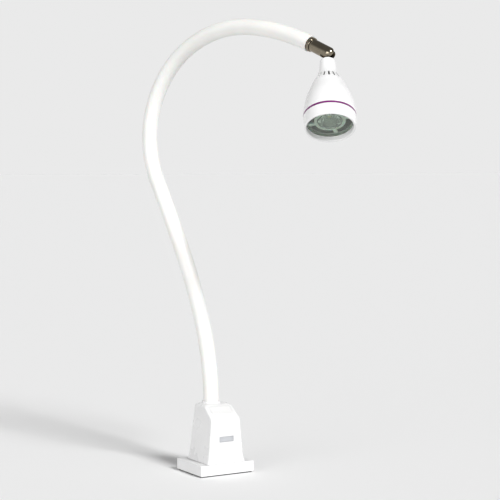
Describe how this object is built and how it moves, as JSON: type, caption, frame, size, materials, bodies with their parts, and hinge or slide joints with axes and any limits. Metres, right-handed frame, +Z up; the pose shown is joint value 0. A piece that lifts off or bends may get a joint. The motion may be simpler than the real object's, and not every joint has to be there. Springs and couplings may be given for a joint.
{
  "type": "gooseneck examination light",
  "caption": "Desk-standing medical examination light: weighted block base, tapered tower with press switch, white gooseneck arm, chromed ball knuckle and bell-shaped LED head.",
  "frame": {"origin": "centre of the foot pad's underside", "axes": "+Z up, -Y the front of the base, where the switch slope is; the arm swings forward and a little to +X"},
  "size_m": [0.1402, 0.4283, 0.6855],
  "materials": {
    "white_paint": "satin white powder coat on steel",
    "white_shell": "white moulded plastic with a soft gloss",
    "white_button": "white satin moulded plastic",
    "white_sheath": "smooth ivory white silicone sleeve",
    "spring_steel": "interlocked flexible steel tube",
    "black_lead": "black two-core cable",
    "machined_steel": "turned zinc-plated steel",
    "dark_chrome": "dark polished chrome plating",
    "bright_chrome": "bright polished chrome",
    "friction_pad": "natural acetal",
    "purple_ring": "purple satin plastic",
    "front_window": "clear tempered glass",
    "black_rubber": "black rubber",
    "frosted_plastic": "frosted white polycarbonate",
    "clear_lens": "clear moulded acrylic",
    "led_phosphor": "yellow phosphor",
    "white_board": "white solder mask on aluminium",
    "green_board": "green solder mask",
    "black_plastic": "black moulded plastic",
    "cast_sink": "natural die-cast aluminium",
    "grey_badge": "plain grey printed plate",
    "steel_screw": "zinc-plated steel"
  },
  "bodies": {
    "root": {"base_plate": "white_paint", "foot_pad": "black_rubber", "base_housing": "white_shell", "base_screw_1": "steel_screw", "base_screw_2": "steel_screw", "base_screw_3": "steel_screw", "base_screw_4": "steel_screw", "post_bolt": "steel_screw", "neck_post": "machined_steel", "lower_fitting": "machined_steel", "base_lead": "black_lead", "driver_board": "green_board", "driver_block": "black_plastic", "power_inlet": "black_plastic", "switch_body": "black_plastic", "switch_carrier": "green_board", "front_badge": "grey_badge", "neck_sheath_1": "white_sheath", "neck_core_1": "spring_steel", "neck_lead_1": "black_lead"},
    "paddle": {"switch_paddle": "white_button"},
    "section_2": {"neck_sheath_2": "white_sheath", "neck_core_2": "spring_steel", "neck_lead_2": "black_lead"},
    "section_3": {"neck_sheath_3": "white_sheath", "neck_core_3": "spring_steel", "neck_lead_3": "black_lead"},
    "section_4": {"neck_sheath_4": "white_sheath", "neck_core_4": "spring_steel", "neck_lead_4": "black_lead"},
    "section_5": {"neck_sheath_5": "white_sheath", "neck_core_5": "spring_steel", "neck_lead_5": "black_lead"},
    "section_6": {"neck_sheath_6": "white_sheath", "neck_core_6": "spring_steel", "neck_lead_6": "black_lead"},
    "section_7": {"neck_sheath_7": "white_sheath", "neck_core_7": "spring_steel", "neck_lead_7": "black_lead", "upper_fitting": "machined_steel", "end_collar": "dark_chrome"},
    "knuckle": {"knuckle_sleeve": "dark_chrome", "ball_pad": "friction_pad", "pad_spring": "machined_steel"},
    "stud": {"ball_stud": "bright_chrome", "stud_nut": "steel_screw"},
    "head": {"head_shell": "white_shell", "accent_ring": "purple_ring", "front_bezel": "white_shell", "front_glass": "front_window", "glass_seal": "black_rubber", "lens_holder": "frosted_plastic", "collimator_lens": "clear_lens", "led_chip": "led_phosphor", "led_board": "white_board", "board_screw_1": "steel_screw", "board_screw_2": "steel_screw", "heat_sink": "cast_sink", "neck_bushing": "friction_pad", "head_lead": "black_lead"}
  },
  "joints": [
    {"name": "neck_bend_low", "type": "hinge", "parent": "root", "child": "section_2", "pos_m": [-0.00562, 0.02844, 0.22239], "axis": [0.9397, 0.342, 0], "range_deg": [-20, 20]},
    {"name": "neck_sway_low", "type": "hinge", "parent": "section_2", "child": "section_3", "pos_m": [-0.01983, 0.06749, 0.33472], "axis": [0.3105, -0.853, 0.4195], "range_deg": [-20, 20]},
    {"name": "neck_bend_middle", "type": "hinge", "parent": "section_3", "child": "section_4", "pos_m": [-0.03768, 0.11652, 0.44267], "axis": [0.9397, 0.342, 0], "range_deg": [-20, 20]},
    {"name": "neck_sway_middle", "type": "hinge", "parent": "section_4", "child": "section_5", "pos_m": [-0.04025, 0.1236, 0.5591], "axis": [0.3226, -0.8863, -0.3322], "range_deg": [-20, 20]},
    {"name": "neck_bend_high", "type": "hinge", "parent": "section_5", "child": "section_6", "pos_m": [-0.01434, 0.05239, 0.64861], "axis": [0.9397, 0.342, 0], "range_deg": [-20, 20]},
    {"name": "neck_sway_high", "type": "hinge", "parent": "section_6", "child": "section_7", "pos_m": [0.02521, -0.05627, 0.67276], "axis": [-0.0316, 0.0868, -0.9957], "range_deg": [-20, 20]},
    {"name": "knuckle_turn", "type": "hinge", "parent": "section_7", "child": "knuckle", "pos_m": [0.06462, -0.16454, 0.64178], "axis": [0.3105, -0.853, -0.4195], "range_deg": [-170, 170]},
    {"name": "head_tilt", "type": "hinge", "parent": "knuckle", "child": "stud", "pos_m": [0.07487, -0.1927, 0.62794], "axis": [0.6943, 0.5049, -0.5129], "range_deg": [-138, 42]},
    {"name": "head_spin", "type": "hinge", "parent": "stud", "child": "head", "pos_m": [0.07487, -0.1927, 0.62794], "axis": [-0.2747, -0.4727, -0.8373], "range_deg": [-170, 170]},
    {"name": "switch_press", "type": "slide", "parent": "root", "child": "paddle", "axis": [0, 0.59, -0.8074], "range_m": [0, 0.0012], "stiffness_N_per_m": 1000, "springref_m": -0.0005}
  ]
}
